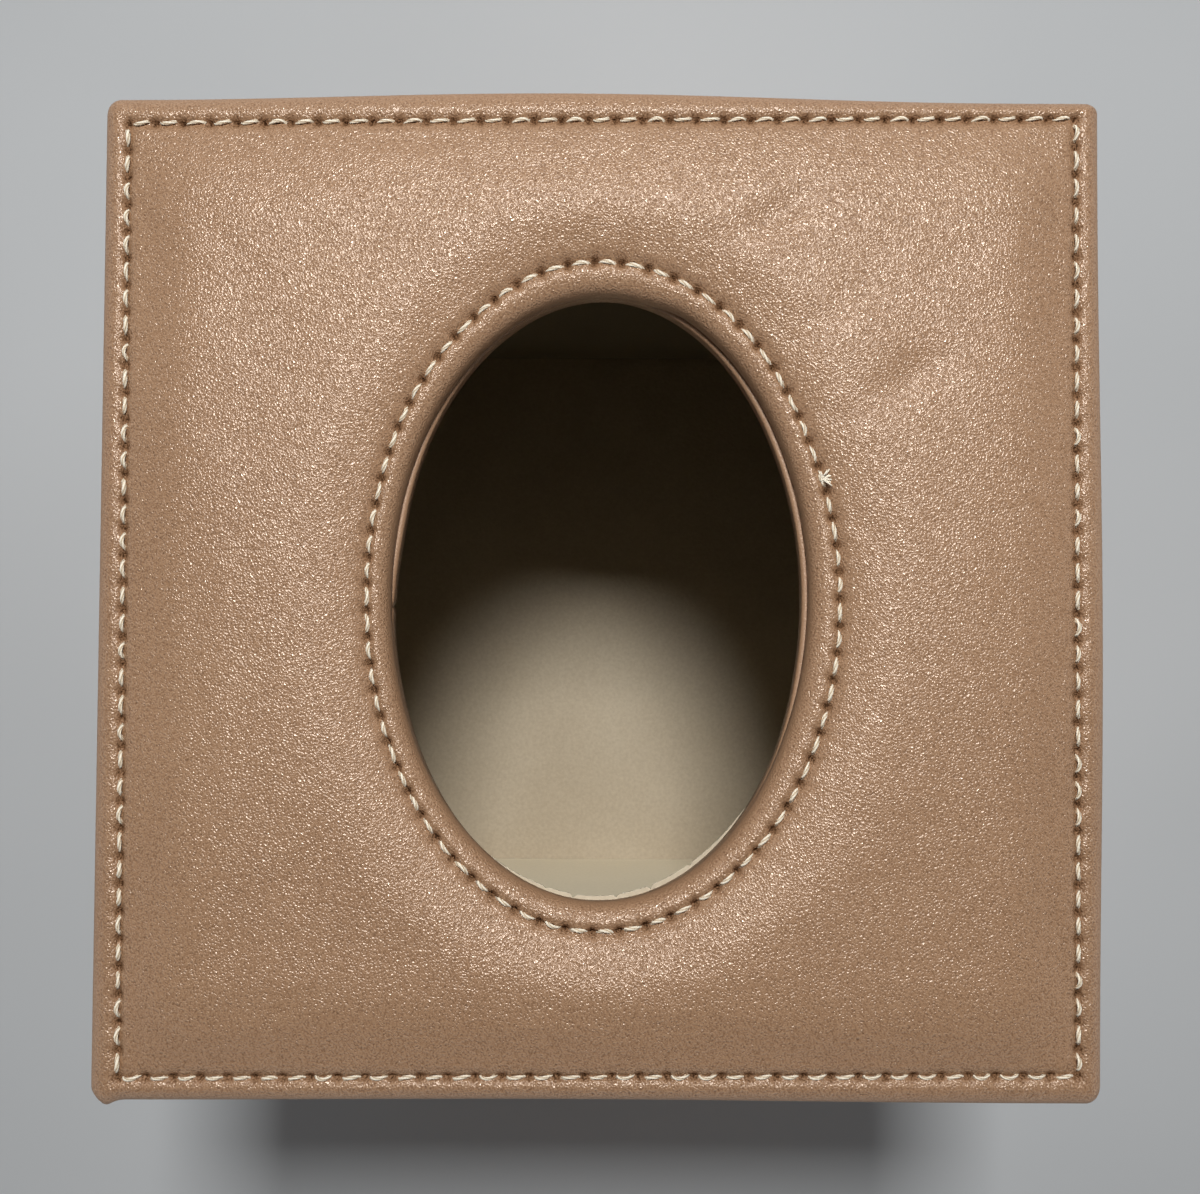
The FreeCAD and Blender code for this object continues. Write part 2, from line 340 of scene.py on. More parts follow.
# Painted light on the front wall; painted shade on the back and side walls.
wall_naps = {"front": napped_finish("lining_front_painted_light", *front_painted_light_tones, full_sheen, front_foot_painted_shade),
             "right": lining_painted_shade,
             "back": napped_finish("lining_back", *back_painted_shade_tones, faint_sheen),
             "left": lining_painted_shade}
for side in side_names:
    plate_over("lining_" + side, "wall_lining_" + side, "shell", "lining", wall_naps[side])
ceiling = holed_sheet("lining_top", "ceiling_lining", "lining", lining_nap,
                      cut_half, cut_shift, cut_wander, cut_cracks)
# Painted shade: the faces of the top sheet that look down take the near-black tone.
ceiling.data.materials.append(lining_painted_shade)
for face in ceiling.data.polygons:
    face.material_index = int(face.normal.z < under_slope)

# Oval edge strip
# A leather band is glued round the edge of the box's oval hole and meets itself in a butt joint at
# the left. It shows below the rim of the top as a second lip, set a little to the left and front.
# Tone of the needle holes: partly the raw fibre in them, partly painted shade.
hole_fibre_and_shade_tone = (0.06, 0.028, 0.014, 1)
tan_dark = (0.21, 0.112, 0.056, 1)
tan_mid = (0.35, 0.2, 0.11, 1)
tan_pale = (0.43, 0.262, 0.152, 1)
pearl_tint = (1.0, 0.87, 0.76, 1)
grain_scale = 4000.0
grain_turn = (0.9, 0.35, 1.1)
grain_bend = 0.25
grain_relief = 0.14 * mm
grain_loss = -0.9
tone_scale = 38.0
tone_start, tone_painted_grain_shade, tone_cloud, tone_hole_fibre_and_shade = 0.48, 0.9, 0.15, -0.5
rough_start, rough_grain, rough_smooth, rough_hole = 0.49, -0.28, 0.2, 0.4
shine_start, shine_grain, shine_hole = 1.08, 1.6, -1.5
strip_columns = 720
strip_rows = 5
strip_thick = 1.1 * mm
strip_round = 0.5 * mm
strip_foot = 0.2 * mm
strip_smooth = 0.75
strip_half = (27.54 * mm, 40.37 * mm)
strip_shift = (0.13 * mm, -0.04 * mm)
strip_wander = ((0, -1.05), (30, -1.12), (60, -0.8), (85, -0.53), (120, -0.8), (150, -0.66), (168, -0.75),
                (177, -0.4), (186, 0.03), (225, 0.1), (240, 0.0), (270, -0.33), (300, -0.46), (330, -0.7),
                (345, -1.0))
joint_turn = radians(181.5)
joint_width = radians(0.5)
joint_depth = 0.3 * mm


def attribute(tree, name):
    """What a piece has stored under a name."""
    return put(tree, "ShaderNodeAttribute", attribute_name=name).outputs["Fac"]


def leather_finish(name):
    """Pearly leather with a fine grain, its ridges painted light and its valleys painted shade; smooth where
    a piece is marked as smoothed, and dark where pierced, with raw fibre and painted shade.
    """
    material, tree, shader = new_finish(name, Specular_Tint=pearl_tint)
    height = speckle(tree, spot(tree, turn=grain_turn), grain_scale, detail=0.0, distortion=grain_bend)
    clouds = speckle(tree, spot(tree), tone_scale, detail=3.0)
    smoothed = attribute(tree, "smoothed")
    pierced = attribute(tree, "pierced")
    kept = weigh(tree, 1.0, (smoothed, grain_loss))
    # Painted light and shade on the grain: ridges get a lighter tone and more shine, valleys a darker tone
    # and less shine.
    grain_light_and_shade = maths(tree, "MULTIPLY", maths(tree, "SUBTRACT", height, 0.5), kept)
    tone = weigh(tree, tone_start, (grain_light_and_shade, tone_painted_grain_shade), (clouds, tone_cloud), (pierced, tone_hole_fibre_and_shade))
    paint(tree, shader, tone, (0.0, hole_fibre_and_shade_tone), (0.25, tan_dark), (0.55, tan_mid), (0.85, tan_pale))
    rough = weigh(tree, rough_start, (height, rough_grain), (smoothed, rough_smooth), (pierced, rough_hole))
    tree.links.new(rough, shader.inputs["Roughness"])
    shine = weigh(tree, shine_start, (grain_light_and_shade, shine_grain), (pierced, shine_hole))
    tree.links.new(maths(tree, "MAXIMUM", shine, 0.0), shader.inputs["Specular IOR Level"])
    emboss(tree, shader, maths(tree, "MULTIPLY", height, kept), grain_relief)
    return material


def mark(piece, name, values):
    """Stores how far a piece is smoothed or pierced, at each of its points or all over, from 0 to 1."""
    layer = piece.data.attributes.new(name, "FLOAT", "POINT")
    layer.data.foreach_set("value", np.full(len(piece.data.vertices), values, np.float32))


def hill(distance, width):
    """Smooth bump of height 1 that fades over a width."""
    return np.exp(-((distance / width) ** 2))


tan_leather = leather_finish("tan_leather")
strip_low, strip_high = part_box("oval_edge_strip")
strip_turns = np.linspace(0, tau, strip_columns, endpoint=False)
lip = wander(strip_wander, strip_turns) + joint_depth * hill(strip_turns - joint_turn, joint_width)
strip_section = [(strip_thick, strip_low.z), (strip_thick, strip_high.z)]
for turn in np.linspace(0, pi / 2, strip_rows):
    strip_section.append((strip_round * (1 - sin(turn)), strip_high.z - strip_round * (1 - cos(turn))))
strip_section += [(0, strip_low.z + strip_foot), (strip_foot, strip_low.z)]
strip_rings = []
for outset, level in strip_section:
    strip_rings.append(lift(oval_plan(strip_half, strip_turns, lip + outset, strip_shift), level))
edge_strip = add_piece("mouth_edge_strip", *skin(strip_rings, closed=True), tan_leather)
mark(edge_strip, "smoothed", strip_smooth)
take_place(edge_strip, "shell", "tan_leather", "oval_edge_strip")

# Padded top
# One leather skin is drawn over a foam pad on a card, rolled over the outer edge and down into the
# oval mouth, and sewn through along both edges, which leaves two rolled rims and a soft crown.
top_low, top_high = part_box("top_leather")
half_top = top_high.x
foot_level = top_low.z
crown_rise = 2.8 * mm
seam_level = top_high.z - crown_rise
top_corner = 2.0 * mm
hide = 0.9 * mm
rim_roll = (2.9 * mm, 1.8 * mm)
rim_rise = 0.3 * mm
rim_smooth = (0.2 * mm, 1.1 * mm)
rim_fullness = 1.0
seam_inset = 3.4 * mm
seam_corner = 1.0 * mm
rim_tuck = 0.4 * mm
mouth_half = (27.0 * mm, 39.3 * mm)
oval_roll = (3.8 * mm, 3.3 * mm)
oval_rise = 0.3 * mm
oval_smooth = (0.0 * mm, 0.8 * mm)
oval_fullness = 0.78
oval_tuck = 1.0 * mm
oval_seam_inset = 4.0 * mm
foot_shares = (0, 0.3, 0.7)
roll_turns = np.radians((0, 12, 24, 36, 47, 57, 66, 74, 82, 90))
flesh_turns = np.radians((0, 45, 90))
flesh_step = 4
seam_rows = 3
stitches_per_side = 35
columns_per_stitch = 8
oval_stitch_count = 67
oval_steps = 7200
crown_run = 13.0 * mm
oval_run = 11.0 * mm
swell_power = 2.2
near_seam = np.array((0.25, 0.5, 0.8, 1.2, 1.7, 2.3, 3.0, 3.9)) * mm
middle_rows = 16
groove_depth = 0.25 * mm
groove_width = 0.8 * mm
hole_depth = 0.8 * mm
hole_width = 0.5 * mm
half_stitch = 1.75 * mm
seam_reach = 5 * mm
seam_pull = 1.5 * mm
pucker_rise = 0.14 * mm
pucker_place = 1.1 * mm
pucker_width = 0.9 * mm
# Each edge's axis, facing, shift in mm, slope and bow in mm.
edge_bows = ((0, -1, 0.12, -0.005, 0.0), (0, 1, -0.15, 0.0, 0.55),
             (1, -1, 0.0, 0.0, -0.3), (1, 1, 0.0, 0.0, 1.15))
bow_start = 60.5 * mm
bow_middle = -5.0 * mm
bow_half = 62.0 * mm
bow_power = 2.2
push_power = 1.5
skew_back = (0.42 * mm, 0.0093)
skew_front = (0.13 * mm, 0.0059)
skew_start = 20.0 * mm
fold_x = -63.3 * mm
fold_width = 1.1 * mm
fold_rise = 0.7 * mm
rim_wander = ((0, 0.26), (30, 0.39), (60, 0.58), (69, 0.68), (78, 0.13), (105, 0.07), (120, 0.0), (150, 0.39),
              (180, 0.33), (210, 0.39), (240, 0.26), (300, 0.33), (330, 0.13))
seam_wander = ((0, 0.0), (15, -0.15), (28, -0.5), (45, -0.2), (60, -0.05), (90, 0.06), (105, 0.13),
               (120, -0.38), (150, -0.45), (165, -0.77), (180, -0.9), (195, -0.77), (225, -0.64),
               (240, -0.58), (255, -0.32), (285, -0.32), (300, -0.38), (315, -0.13), (345, 0.06))
wander_fade = 12.0 * mm
# Each dent's place, slant in degrees, length, width and rise, and each nick's place, width and rise, in mm.
dents = ((22.5, 48.8, 27.0, 7.0, 2.3, -0.75), (38.8, 27.8, 33.0, 6.5, 2.7, -0.58),
         (31.0, 37.5, 35.0, 7.0, 2.6, -0.34))
nicks = ((1.2, -63.1, 0.45, 0.22), (4.6, -63.3, 0.4, 0.25))
cloth_step = 8
cloth_row_step = 2
cloth_frames = 24
cloth_cap = 0.6 * mm
cloth_seed = 17
cloth_settings = {"quality": 8, "mass": 0.02, "tension_stiffness": 8.0, "compression_stiffness": 8.0,
                  "shear_stiffness": 4.0, "bending_stiffness": 0.6, "air_damping": 4.0,
                  "vertex_group_mass": "pinned", "vertex_group_shrink": "loose", "shrink_min": 0.0,
                  "shrink_max": -0.012, "use_pressure": True, "uniform_pressure_force": 0.35}

columns_per_side = stitches_per_side * columns_per_stitch
seam_half = half_top - seam_inset
oval_seam = (mouth_half[0] + oval_seam_inset, mouth_half[1] + oval_seam_inset)
outer_rim = (rim_roll, rim_rise, seam_inset, rim_tuck)
oval_rim = (oval_roll, oval_rise, oval_seam_inset, oval_tuck)


def square_ring(inset):
    """Plan of the top's edge, drawn in by an inset."""
    corner = max(top_corner - inset, seam_corner)
    return frame_ring(half_top - inset, half_top - inset, corner, columns_per_side)


seam_ring = square_ring(seam_inset)
column_turns = np.arctan2(seam_ring[:, 1], seam_ring[:, 0])


def oval_ring(outset):
    """Plan of the mouth's edge, let out by an outset."""
    return oval_plan(mouth_half, column_turns, outset)


def rim_section(roll, rise, inset, tuck, smooth, fullness):
    """Insets, levels and smoothness over a rolled rim, from its tucked foot to its seam."""
    run, drop = roll
    crest = seam_level + rise
    height = crest - drop - foot_level
    rows = [(tuck * (1 - share) ** 2, foot_level + height * share, 1) for share in foot_shares]
    for turn in roll_turns:
        place = run - run * max(cos(turn), 0.0) ** fullness
        rows.append((place, crest - drop + drop * sin(turn) ** fullness, np.interp(place, smooth, (1, 0))))
    for share in np.linspace(0, 1, seam_rows + 1)[1:]:
        rows.append((run + (inset - run) * share, seam_level + rise * (1 + cos(pi * share)) / 2, 0))
    return rows


def inner_section(roll, rise, inset, tuck):
    """The same rim on the flesh side of the leather."""
    run, drop = roll
    crest = seam_level + rise
    rows = [(hide + tuck, foot_level, 1)]
    for turn in flesh_turns:
        rows.append((run - (run - hide) * cos(turn), crest - drop + (drop - hide) * sin(turn), 1))
    rows.append((inset, seam_level - seam_pull, 1))
    return rows


def section_rings(ring_at, rows):
    """Rings at the insets and levels of a section's rows."""
    return [lift(ring_at(inset), level) for inset, level, smooth in rows]


def oval_distance(x, y):
    """How far a plan point lies outside the oval seam, near enough."""
    a, b = oval_seam
    reach = np.sqrt((x / a) ** 2 + (y / b) ** 2)
    slope = np.sqrt((x / a**2) ** 2 + (y / b**2) ** 2) / reach
    return (reach - 1) / slope


def swell(distance, run):
    """Share of the crown's rise at a distance from a seam."""
    return 1 - (1 - np.clip(distance / run, 0, 1)) ** swell_power


def crown_level(x, y):
    """Level of the crown between the two seams."""
    rise = swell(seam_half - np.abs(x), crown_run) * swell(seam_half - np.abs(y), crown_run)
    return seam_level + crown_rise * rise * swell(oval_distance(x, y), oval_run)


def crown_rings():
    """Rings of the crown from the outer seam to the oval one, close together near both."""
    reach = oval_ring(oval_seam_inset) - seam_ring
    first = near_seam[:, None] / np.linalg.norm(reach, axis=1)
    between = np.linspace(0, 1, middle_rows + 2)[1:-1, None]
    middle = first[-1] + (1 - 2 * first[-1]) * between
    rings = []
    for shares in np.concatenate([first, middle, 1 - first[::-1]]):
        plan = seam_ring + reach * shares[:, None]
        rings.append(lift(plan, crown_level(plan[:, 0], plan[:, 1])))
    return rings


def fill_in(rows, places):
    """Rows at places between rows."""
    low = np.floor(places).astype(int)
    high = np.minimum(low + 1, len(rows) - 1)
    share = (places - low)[:, None, None]
    return rows[low] * (1 - share) + rows[high] * share


def drape(rings):
    """Rings of the crown after a coarse cloth, pinned at both seams, has settled on the pad's pressure."""
    rows = rings[::cloth_row_step] + ([] if len(rings) % cloth_row_step else [rings[-1]])
    start, faces = skin([ring[::cloth_step] for ring in rows])
    count = len(start) // len(rows)
    sheet = add_piece("cloth_sheet", start, faces, tan_leather)
    pinned = sheet.vertex_groups.new(name="pinned")
    pinned.add([*range(count), *range(len(start) - count, len(start))], 1.0, "REPLACE")
    loose = sheet.vertex_groups.new(name="loose")
    for place, weight in enumerate(np.random.default_rng(cloth_seed).uniform(0, 1, len(start))):
        loose.add([place], weight, "REPLACE")
    modifier = sheet.modifiers.new("cloth", "CLOTH")
    for key, value in cloth_settings.items():
        setattr(modifier.settings, key, value)
    modifier.settings.effector_weights.gravity = 0.0
    modifier.collision_settings.use_collision = False
    modifier.point_cache.frame_end = cloth_frames
    for step in range(1, cloth_frames + 1):
        bpy.context.scene.frame_set(step)
    settled = sheet.evaluated_get(bpy.context.evaluated_depsgraph_get()).to_mesh()
    moved = np.empty(3 * len(start))
    settled.vertices.foreach_get("co", moved)
    moved = (moved.reshape(-1, 3) - start).reshape(len(rows), count, 3)
    bpy.context.scene.frame_set(1)
    bpy.data.objects.remove(sheet)
    size = np.linalg.norm(moved, axis=2, keepdims=True)
    moved *= cloth_cap * np.tanh(size / cloth_cap) / np.maximum(size, 1e-9)
    moved = np.concatenate([moved, moved[:, :1]], axis=1)
    fine = fill_in(moved.swapaxes(0, 1), np.arange(len(rings[0])) / cloth_step).swapaxes(0, 1)
    fine = fill_in(fine, np.minimum(np.arange(len(rings)) / cloth_row_step, len(rows) - 1))
    for reach in (cloth_step // 2, cloth_step // 4):
        shifts = range(-reach, reach + 1)
        fine = sum(np.roll(fine, k, axis=1) for k in shifts) / len(shifts)
    inner = fine.copy()
    inner[1:-1] = (fine[:-2] + 2 * fine[1:-1] + fine[2:]) / 4
    return [ring + move for ring, move in zip(rings, inner)]


def frame_holes(half_across, half_along, count_across, count_along):
    """Needle holes round a rectangle, counter-clockwise from its lower right corner."""
    rise = np.linspace(-half_along, half_along, count_along + 1)[:-1]
    run = np.linspace(-half_across, half_across, count_across + 1)[:-1]
    right = np.stack([np.full(count_along, half_across), rise], axis=1)
    upper = np.stack([-run, np.full(count_across, half_along)], axis=1)
    return np.concatenate([right, upper, -right, -upper])


def mouth_holes():
    """Needle holes of the oval seam, evenly spaced."""
    oval = oval_plan(oval_seam, np.linspace(0, tau, oval_steps + 1))
    along = np.concatenate([[0], np.cumsum(np.linalg.norm(np.diff(oval, axis=0), axis=1))])
    stops = np.linspace(0, along[-1], oval_stitch_count + 1)[:-1]
    return np.stack([np.interp(stops, along, axis) for axis in oval.T], axis=1)


def nearest(plan, places):
    """Distance of each plan point from the nearest place."""
    least = np.full(len(plan), 1.0)
    for place in places:
        np.minimum(least, np.hypot(plan[:, 0] - place[0], plan[:, 1] - place[1]), out=least)
    return least


def pucker(to_hole, away):
    """Rise of the leather beside a seam, between needle holes."""
    between = np.clip(to_hole / half_stitch, 0, 1) ** 2
    return pucker_rise * between * hill(away - pucker_place, pucker_width)


def sew(points):
    """Draws the stitched valleys, needle holes, puckers and dents into the face of the top."""
    plan = points[:, :2]
    x, y = plan.T
    # pierced marks the needle holes, which the leather's finish paints dark: raw fibre and painted shade.
    pierced = np.zeros(len(points))
    for away, holes in ((np.abs(seam_half - np.maximum(np.abs(x), np.abs(y))), edge_plan),
                        (np.abs(oval_distance(x, y)), oval_hole_plan)):
        close = away < seam_reach
        pull = np.zeros(len(points))
        to_hole = nearest(plan[close], holes)
        pierced[close] = np.maximum(pierced[close], hill(to_hole, hole_width))
        pull[close] = pucker(to_hole, away[close]) - hole_depth * hill(to_hole, hole_width)
        points[:, 2] += pull - groove_depth * hill(away, groove_width)
    for dent_x, dent_y, slant, length, width, rise in dents:
        c, s = cos(radians(slant)), sin(radians(slant))
        along = (x - dent_x * mm) * c + (y - dent_y * mm) * s
        across = (y - dent_y * mm) * c - (x - dent_x * mm) * s
        points[:, 2] += rise * mm * hill(along, length * mm) * hill(across, width * mm)
    for nick_x, nick_y, width, rise in nicks:
        points[:, 2] += rise * mm * hill(np.hypot(x - nick_x * mm, y - nick_y * mm), width * mm)
    return pierced


def settle(points):
    """Hand work: both rows and rims wander, the edges bow and one corner gathers a fold."""
    x = points[:, 0].copy()
    y = points[:, 1].copy()
    reach = half_top - bow_start
    for axis, facing, shift, slope, bow in edge_bows:
        place, other = (x, y) if axis == 0 else (y, x)
        arch = np.cos(np.clip((other - bow_middle) / bow_half, -1, 1) * pi / 2) ** bow_power
        push = np.clip((place * facing - bow_start) / reach, 0, 1) ** push_power
        points[:, axis] += facing * push * (shift * mm + slope * other + bow * mm * arch)
    for facing, (shift, slope) in ((1, skew_back), (-1, skew_front)):
        share = (y * facing - skew_start) / (seam_half - skew_start)
        share = np.minimum(share, (half_top - y * facing) / seam_inset)
        points[:, 1] += np.clip(share, 0, 1) * (shift + slope * x)
    turns = np.arctan2(y / oval_seam[1], x / oval_seam[0])
    away = oval_distance(x, y)
    near_rim = np.clip(-away / oval_seam_inset, 0, 1)
    near_row = np.where(away > 0, np.clip(1 - away / wander_fade, 0, 1), 1 - near_rim)
    push = wander(rim_wander, turns) * near_rim + wander(seam_wander, turns) * near_row
    points[:, 0] += push * np.cos(turns)
    points[:, 1] += push * np.sin(turns)
    points[:, 1] -= fold_rise * hill(x - fold_x, fold_width) * np.clip((-y - bow_start) / reach, 0, 1) ** 2


edge_plan = frame_holes(seam_half, seam_half, stitches_per_side, stitches_per_side)
oval_hole_plan = mouth_holes()
outer_rows = rim_section(*outer_rim, rim_smooth, rim_fullness)
oval_rows = rim_section(*oval_rim, oval_smooth, oval_fullness)[::-1]
crown = crown_rings()
crown = drape(crown)
face_rings = section_rings(square_ring, outer_rows) + crown + section_rings(oval_ring, oval_rows)
face_points = np.concatenate(face_rings)
pierced = sew(face_points)
flesh_rings = section_rings(oval_ring, inner_section(*oval_rim))
for ring in crown[::-flesh_step]:
    pull = (seam_pull - hide) * (1 - swell(ring[:, 2] - seam_level, crown_rise))
    flesh_rings.append(ring - np.column_stack([np.zeros((len(ring), 2)), hide + pull]))
flesh_rings += section_rings(square_ring, inner_section(*outer_rim)[::-1])
smoothness = [row[2] for row in outer_rows] + [0] * len(crown) + [row[2] for row in oval_rows]
smoothness += [1] * len(flesh_rings)
top_points, top_faces = skin(face_rings + flesh_rings, closed=True)
top_points[:len(face_points)] = face_points
settle(top_points)
top_skin = add_piece("top_skin", top_points, top_faces, tan_leather)
mark(top_skin, "smoothed", np.repeat(smoothness, 4 * columns_per_side))
mark(top_skin, "pierced", np.concatenate([pierced, np.zeros(len(top_points) - len(pierced))]))
take_place(top_skin, "shell", "tan_leather", "top_leather")

foam_dark = (0.62, 0.58, 0.45, 1)
foam_pale = (0.74, 0.7, 0.56, 1)
foam_scale = 700.0
foam_relief = 0.3 * mm
foam_step = 8
foam_gap = (0, 0, 0.1 * mm)
foam_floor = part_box("top_foam")[0].z
foam_finish, foam_tree, foam_shader = new_finish("open_foam", Roughness=0.95, Specular_IOR_Level=0.1)
foam_cells = put(foam_tree, "ShaderNodeTexVoronoi", {"Vector": spot(foam_tree), "Scale": foam_scale})
foam_depth = foam_cells.outputs["Distance"]
paint(foam_tree, foam_shader, foam_depth, (0.1, foam_pale), (0.6, foam_dark))
emboss(foam_tree, foam_shader, foam_depth, foam_relief)
foam_rings = [ring[::foam_step] - foam_gap for ring in flesh_rings[::-1]]
for ring in foam_rings:
    ring[:, 2] = np.maximum(ring[:, 2], foam_floor)
foam_points, foam_faces = skin(foam_rings, closed=True)
settle(foam_points)
foam = add_piece("foam_pad", foam_points, foam_faces, foam_finish)
take_place(foam, "shell", "foam", "top_foam")

# Stitches of the top
# Cream three-ply thread is sewn in long stitches along the four edges and round the mouth. The rows
# along the front and back lean and are drawn thinner than the rows at the sides.
# The darkest thread tone is painted shade in the furrows between plies.
thread_furrow_shade = (0.26, 0.16, 0.085, 1)
thread_mid = (0.78, 0.66, 0.48, 1)
thread_pale = (1.0, 0.93, 0.78, 1)
thread_sizes = {"Stitch length": 2.0 * mm, "Thread width": 0.58 * mm, "Thread flat": 0.8,
                "Thread rise": 0.95 * mm, "Thread sink": 0.6 * mm, "Thread twist": radians(250)}
thread_steps = 9
thread_fullness = 0.6
thread_end = 0.45
ply_count = 3
points_per_ply = 3
furrow_depth = 0.24
lean = radians(9)
lean_thin = 0.86
oval_slant = -0.05
sway_most = 0.07
roll_most = 0.5
width_range = (0.9, 1.08)
length_range = (0.92, 1.05)
fuzz_scale = 5200.0
fuzz_relief = 0.05 * mm
shade_start, furrow_painted_shade, shade_fuzz = 0.45, -0.5, 0.5
edge_seed = 11
oval_seed = 23
tree_inputs = {"Needle holes": "Geometry", **dict.fromkeys(thread_sizes, "Float"), "Plies": "Int",
               "Up": "Vector", "Seed": "Int", "Thread": "Material"}


def thread_finish(name):
    """Twisted cotton: painted shade darkens the furrows between plies; pale crests and fine fuzz."""
    material, tree, shader = new_finish(name, Roughness=0.6, Specular_IOR_Level=0.4, Sheen_Weight=0.3,
                                        Sheen_Roughness=0.4)
    fuzz = speckle(tree, spot(tree), fuzz_scale, detail=3.0)
    shade = weigh(tree, shade_start, (attribute(tree, "furrow"), furrow_painted_shade), (fuzz, shade_fuzz))
    paint(tree, shader, shade, (0.1, thread_furrow_shade), (0.45, thread_mid), (0.8, thread_pale))
    emboss(tree, shader, fuzz, fuzz_relief)
    return material


def stitch_tree():
    """Geometry nodes that lay one twisted stitch along each edge of a mesh of needle holes."""
    tree = bpy.data.node_groups.new("stitch_row", "GeometryNodeTree")
    for name, kind in tree_inputs.items():
        tree.interface.new_socket(name, in_out="INPUT", socket_type="NodeSocket" + kind)
    tree.interface.new_socket("Stitches", in_out="OUTPUT", socket_type="NodeSocketGeometry")
    given = put(tree, "NodeGroupInput").outputs

    def made(kind, wires=None, **settings):
        return put(tree, kind, wires, **settings).outputs[0]

    def shape(kind, wires=None, **settings):
        return made("GeometryNode" + kind, wires, **settings)

    def times(first, second):
        return maths(tree, "MULTIPLY", first, second)

    def random(low, high, offset):
        seed = maths(tree, "ADD", given["Seed"], offset)
        wires = {2: low, 3: high, "Seed": seed}
        return put(tree, "FunctionNodeRandomValue", wires, data_type="FLOAT").outputs[1]

    def vector(x, y, z):
        return made("ShaderNodeCombineXYZ", {0: x, 1: y, 2: z})

    def stored(name):
        return shape("InputNamedAttribute", {"Name": name}, data_type="FLOAT")

    half = times(given["Stitch length"], 0.5)
    start = vector(times(half, -1.0), 0.0, 0.0)
    path = shape("CurvePrimitiveLine", {"Start": start, "End": vector(half, 0.0, 0.0)})
    path = shape("ResampleCurve", {"Curve": path, "Count": thread_steps})
    along = shape("SplineParameter")
    arch = maths(tree, "MAXIMUM", maths(tree, "SINE", times(along, pi)), 0.0)
    full = maths(tree, "POWER", arch, thread_fullness)
    bow = maths(tree, "SUBTRACT", times(full, given["Thread rise"]), given["Thread sink"])
    path = shape("SetPosition", {"Geometry": path, "Offset": vector(0.0, 0.0, bow)})
    radius = weigh(tree, thread_end, (full, 1 - thread_end))
    path = shape("SetCurveRadius", {"Curve": path, "Radius": radius})
    twist = times(along, given["Thread twist"])
    path = shape("SetCurveTilt", {"Curve": path, "Tilt": twist})
    circle = shape("CurvePrimitiveCircle", {"Resolution": times(given["Plies"], points_per_ply),
                                            "Radius": times(given["Thread width"], 0.5)})
    index = shape("InputIndex")
    valley = maths(tree, "LESS_THAN", maths(tree, "MODULO", index, points_per_ply), 0.5)
    narrow = weigh(tree, 1.0, (valley, -furrow_depth))
    drawn = made("ShaderNodeVectorMath", {0: shape("InputPosition"), "Scale": narrow}, operation="SCALE")
    lobes = shape("SetPosition", {"Geometry": circle, "Position": drawn})
    # furrow marks the valleys between plies, which the thread's finish paints dark as painted shade.
    lobes = shape("StoreNamedAttribute", {"Geometry": lobes, "Name": "furrow", "Value": valley},
                  data_type="FLOAT", domain="POINT")
    stitch = shape("CurveToMesh", {"Curve": path, "Profile Curve": lobes, "Fill Caps": True})
    ends = put(tree, "GeometryNodeInputMeshEdgeVertices").outputs
    run = made("ShaderNodeVectorMath", {0: ends["Position 2"], 1: ends["Position 1"]}, operation="SUBTRACT")
    kept = put(tree, "GeometryNodeCaptureAttribute", domain="EDGE")
    kept.capture_items.new("VECTOR", "Run")
    tree.links.new(given["Needle holes"], kept.inputs["Geometry"])
    tree.links.new(run, kept.inputs["Run"])
    middles = shape("MeshToPoints", {"Mesh": kept.outputs["Geometry"]}, mode="EDGES")
    axes = {"Primary Axis": kept.outputs["Run"], "Secondary Axis": given["Up"]}
    turn = made("FunctionNodeAxesToRotation", axes, primary_axis="X", secondary_axis="Z")
    sway = maths(tree, "ADD", stored("slant"), random(-sway_most, sway_most, 1))
    lean_angles = vector(random(-roll_most, roll_most, 2), 0.0, sway)
    lean_by = made("FunctionNodeEulerToRotation", {"Euler": lean_angles})
    turns = {"Rotation": turn, "Rotate By": lean_by}
    turn = made("FunctionNodeRotateRotation", turns, rotation_space="LOCAL")
    breadth = times(stored("slim"), random(*width_range, 3))
    size = vector(random(*length_range, 4), breadth, times(breadth, given["Thread flat"]))
    row = shape("InstanceOnPoints", {"Points": middles, "Instance": stitch, "Rotation": turn, "Scale": size})
    row = shape("RealizeInstances", {"Geometry": row})
    row = shape("SetShadeSmooth", {"Geometry": row})
    row = shape("SetMaterial", {"Geometry": row, "Material": given["Thread"]})
    put(tree, "NodeGroupOutput", {"Stitches": row})
    return tree


def sew_row(name, holes, up, slants, slims, seed):
    """Stitches between the needle holes of a closed row, as a plain mesh."""
    count = len(holes)
    mesh = bpy.data.meshes.new(name)
    mesh.from_pydata(holes.tolist(), [(i, (i + 1) % count) for i in range(count)], [])
    for layer, values in (("slant", slants), ("slim", slims)):
        places = mesh.attributes.new(layer, "FLOAT", "EDGE").data
        places.foreach_set("value", np.full(count, values, np.float32))
    row = stand(name, mesh)
    modifier = row.modifiers.new("stitches", "NODES")
    modifier.node_group = stitches_tree
    settings = {**thread_sizes, "Plies": ply_count, "Up": up, "Seed": seed, "Thread": cream_thread}
    for socket in stitches_tree.interface.items_tree:
        if socket.name in settings:
            modifier[socket.identifier] = settings[socket.name]
    bpy.context.view_layer.update()
    plain = bpy.data.meshes.new_from_object(row.evaluated_get(bpy.context.evaluated_depsgraph_get()))
    row.modifiers.clear()
    row.data = plain
    return row


